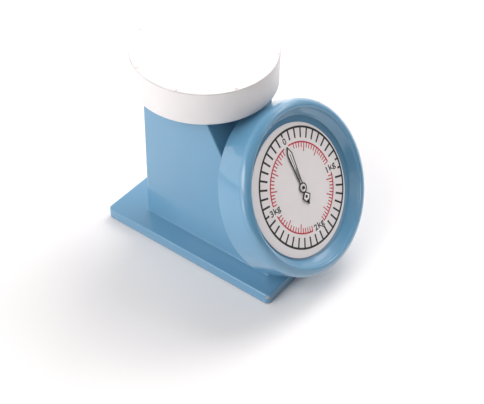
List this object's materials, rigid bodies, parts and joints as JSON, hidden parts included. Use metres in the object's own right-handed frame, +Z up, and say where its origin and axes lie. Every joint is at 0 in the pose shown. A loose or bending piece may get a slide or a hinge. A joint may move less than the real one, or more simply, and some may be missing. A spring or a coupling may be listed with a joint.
{
  "type": "mechanical dial platform scale",
  "caption": "Compact mechanical counter scale: round platform on a pillar and base, parallel levers, rack and pinion driving a pointer round a leaning dial.",
  "frame": {"origin": "centre of the footprint, on the surface the scale stands on", "axes": "+Z up, -Y towards the side the dial faces, +X to the right as seen from the dial's side"},
  "size_m": [0.1662, 0.2341, 0.2031],
  "materials": {
    "blue_lacquer": "gloss",
    "white_lacquer": "satin",
    "printed_plate": "matte",
    "pointer_paint": "matte",
    "steel": "satin",
    "brass": "satin",
    "rubber": "matte",
    "wheel_plastic": "matte",
    "aluminium": "satin"
  },
  "bodies": {
    "frame": {"base_plate": "blue_lacquer", "rubber_feet": "rubber", "pillar_housing": "blue_lacquer", "pillar_collar": "blue_lacquer", "base_screws": "steel", "dial_neck": "blue_lacquer", "dial_drum": "blue_lacquer", "drum_screws": "steel", "dial_bezel": "blue_lacquer", "dial_plate": "printed_plate", "stop_ring": "rubber", "chassis_frame": "steel", "chassis_screws": "steel", "pivot_pins": "steel", "rack_guide": "brass", "arbor_bushes": "brass", "movement_plate": "steel", "movement_bridge": "steel", "bridge_screws": "steel", "movement_screws": "steel"},
    "platform": {"platform_cap": "white_lacquer", "platform_spider": "aluminium", "spider_screws": "steel", "carriage": "aluminium", "carriage_pins": "steel", "main_spring": "steel"},
    "upper_lever_body": {"upper_lever": "aluminium"},
    "main_lever_body": {"main_lever": "aluminium", "rack_pin": "steel"},
    "rack_body": {"rack": "brass"},
    "pointer_body": {"pointer": "pointer_paint", "pointer_cap": "pointer_paint", "pinion_arbor": "brass"},
    "zero_wheel_body": {"zero_wheel": "wheel_plastic"},
    "zero_stud_body": {"zero_stud": "steel"}
  },
  "joints": [
    {"name": "platform_slide", "type": "slide", "parent": "frame", "child": "platform", "axis": [0, 0, -1], "range_m": [0, 0.003], "stiffness_N_per_m": 13080, "springref_m": -0.0004, "deforming": ["main_spring"]},
    {"name": "upper_lever_hinge", "type": "hinge", "parent": "frame", "child": "upper_lever_body", "pos_m": [0, 0.0221, 0.1223], "axis": [-1, 0, 0], "range_deg": [-0.05, 7.9]},
    {"name": "main_lever_hinge", "type": "hinge", "parent": "frame", "child": "main_lever_body", "pos_m": [0, 0.0221, 0.0623], "axis": [-1, 0, 0], "range_deg": [-0.05, 7.9]},
    {"name": "rack_slide", "type": "slide", "parent": "frame", "child": "rack_body", "axis": [0, 0.4924, 0.8704], "range_m": [-0.0001, 0.0158]},
    {"name": "pointer_turn", "type": "hinge", "parent": "frame", "child": "pointer_body", "pos_m": [0, -0.0712, 0.0968], "axis": [0, 0.8704, -0.4924], "range_deg": [-2, 362]},
    {"name": "zero_wheel_turn", "type": "hinge", "parent": "frame", "child": "zero_wheel_body", "pos_m": [0, 0.0545, 0.0187], "axis": [0, 0, 1], "range_deg": [-120, 120]},
    {"name": "zero_stud_slide", "type": "slide", "parent": "frame", "child": "zero_stud_body", "axis": [0, 0, 1], "range_m": [-0.00051, 0.00051]}
  ],
  "couplings": [
    {"joint": "upper_lever_hinge", "follows": "platform_slide", "rad_per_m": 45.49},
    {"joint": "main_lever_hinge", "follows": "platform_slide", "rad_per_m": 45.49},
    {"joint": "rack_slide", "follows": "platform_slide", "ratio": 5.236},
    {"joint": "pointer_turn", "follows": "platform_slide", "rad_per_m": 2094.4},
    {"joint": "zero_stud_slide", "follows": "zero_wheel_turn", "m_per_rad": 0.00023873}
  ]
}
